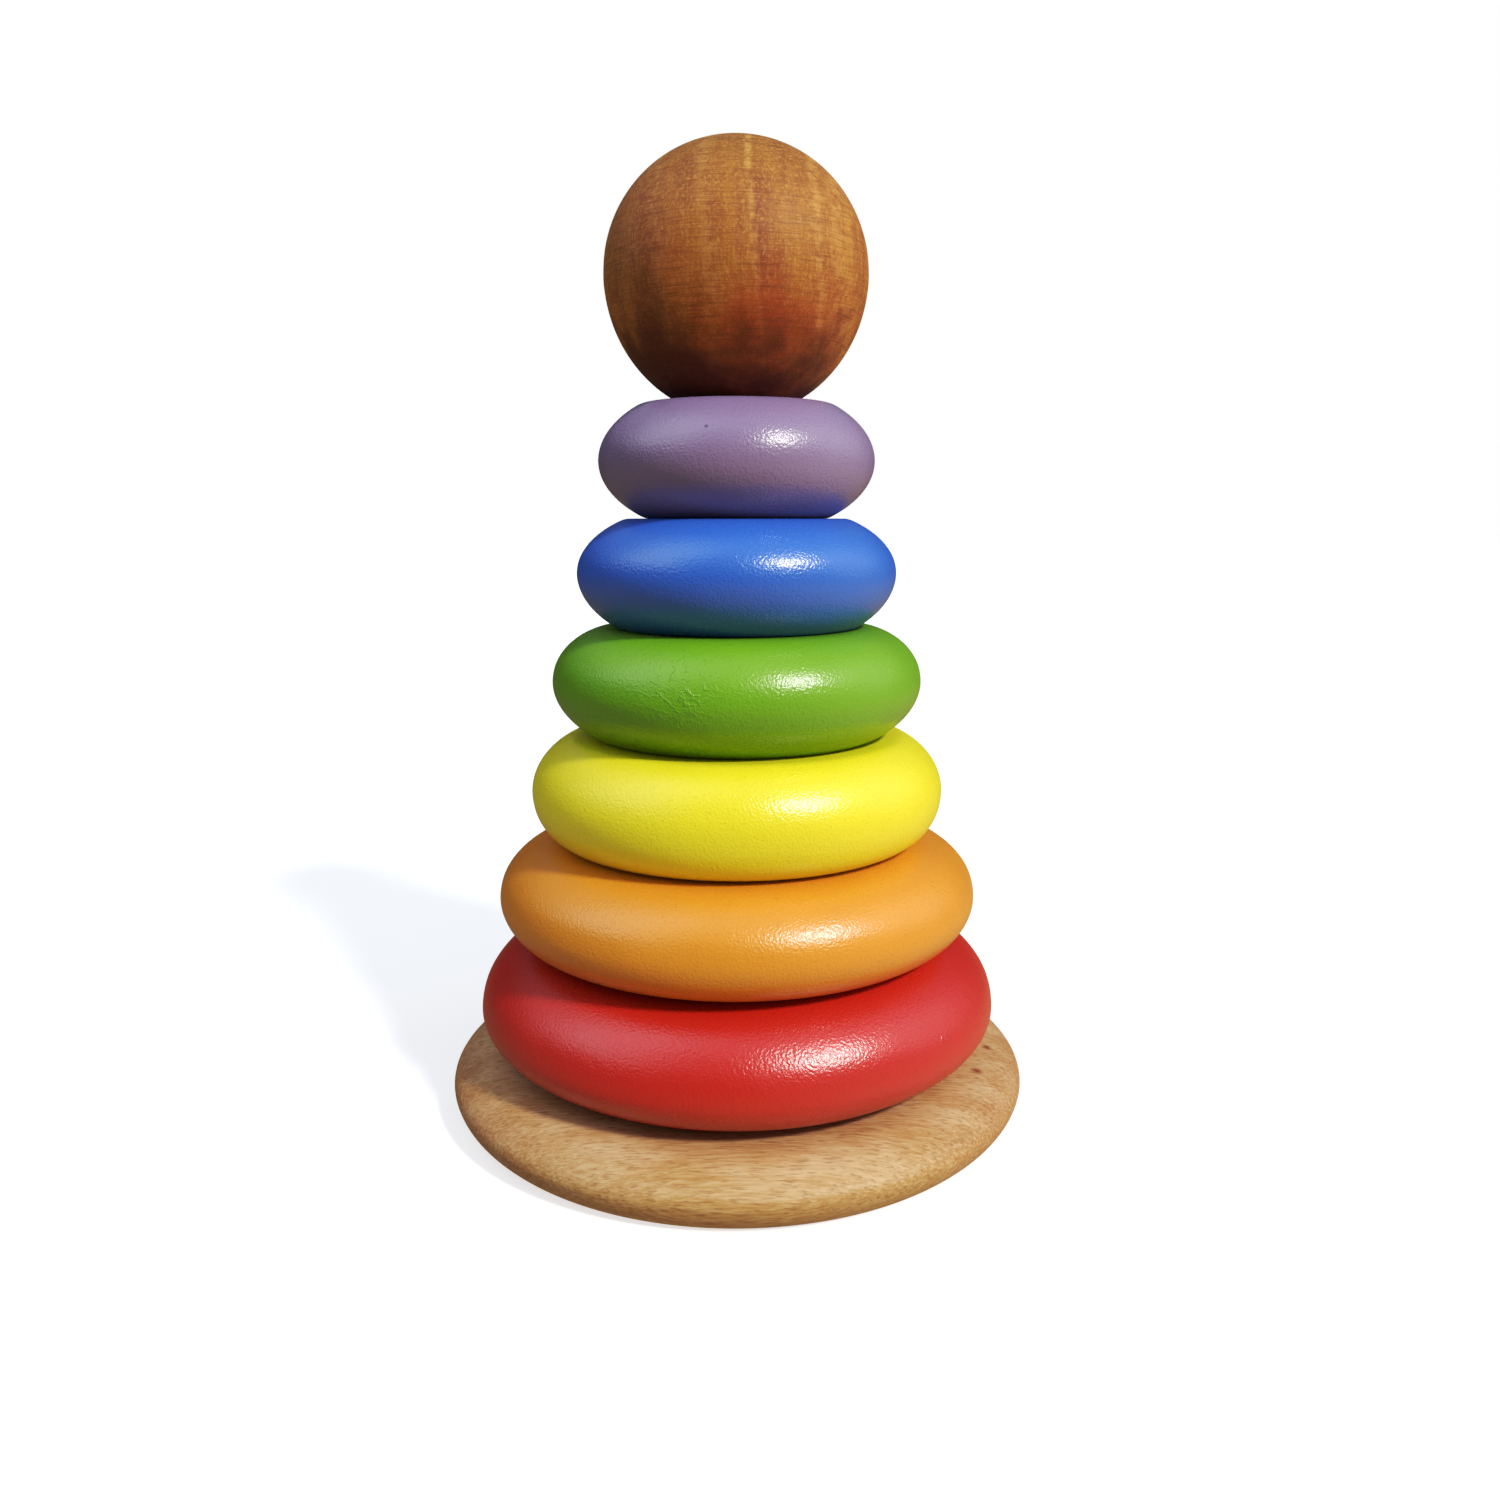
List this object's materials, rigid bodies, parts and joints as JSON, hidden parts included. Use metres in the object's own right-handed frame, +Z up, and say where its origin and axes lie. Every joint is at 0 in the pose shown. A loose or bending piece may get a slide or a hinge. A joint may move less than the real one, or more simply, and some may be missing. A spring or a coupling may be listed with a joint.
{
  "type": "wooden ring stacker",
  "caption": "Wooden ring stacker: a round base with an upright peg that holds painted rings, largest at the bottom, and a wooden ball on top.",
  "frame": {"origin": "centre of the base's underside, on the surface it stands on", "axes": "+Z up along the peg, from the base towards the ball; the part is turned about this axis, so +X and +Y are level and otherwise free, with -Y taken as the front"},
  "size_m": [0.14, 0.14, 0.2222],
  "materials": {
    "base_wood": "tan hardwood, sanded and oiled, satin",
    "peg_wood": "plain sanded hardwood dowel",
    "screw_steel": "zinc plated",
    "red_paint": "satin red paint over wood",
    "orange_paint": "satin orange paint over wood",
    "yellow_paint": "satin yellow paint over wood",
    "green_paint": "satin green paint over wood",
    "blue_paint": "satin blue paint over wood",
    "violet_paint": "satin violet paint over wood",
    "ball_wood": "golden brown hardwood, turned and oiled, satin"
  },
  "bodies": {
    "base": {"base_plate": "base_wood", "peg": "peg_wood", "base_screw": "screw_steel"},
    "ring_1_red": {"red_ring": "red_paint"},
    "ring_2_orange": {"orange_ring": "orange_paint"},
    "ring_3_yellow": {"yellow_ring": "yellow_paint"},
    "ring_4_green": {"green_ring": "green_paint"},
    "ring_5_blue": {"blue_ring": "blue_paint"},
    "ring_6_violet": {"violet_ring": "violet_paint"},
    "ball": {"top_ball": "ball_wood"}
  },
  "joints": [
    {"name": "red_ring_lift", "type": "slide", "parent": "base", "child": "ring_1_red", "axis": [0, 0, 1], "range_m": [0, 0.175]},
    {"name": "orange_ring_lift", "type": "slide", "parent": "ring_1_red", "child": "ring_2_orange", "axis": [0, 0, 1], "range_m": [0, 0.1475]},
    {"name": "yellow_ring_lift", "type": "slide", "parent": "ring_2_orange", "child": "ring_3_yellow", "axis": [0, 0, 1], "range_m": [0, 0.1235]},
    {"name": "green_ring_lift", "type": "slide", "parent": "ring_3_yellow", "child": "ring_4_green", "axis": [0, 0, 1], "range_m": [0, 0.0985]},
    {"name": "blue_ring_lift", "type": "slide", "parent": "ring_4_green", "child": "ring_5_blue", "axis": [0, 0, 1], "range_m": [0, 0.073]},
    {"name": "violet_ring_lift", "type": "slide", "parent": "ring_5_blue", "child": "ring_6_violet", "axis": [0, 0, 1], "range_m": [0, 0.048]},
    {"name": "ball_lift", "type": "slide", "parent": "ring_6_violet", "child": "ball", "axis": [0, 0, 1], "range_m": [0, 0.0225]}
  ]
}
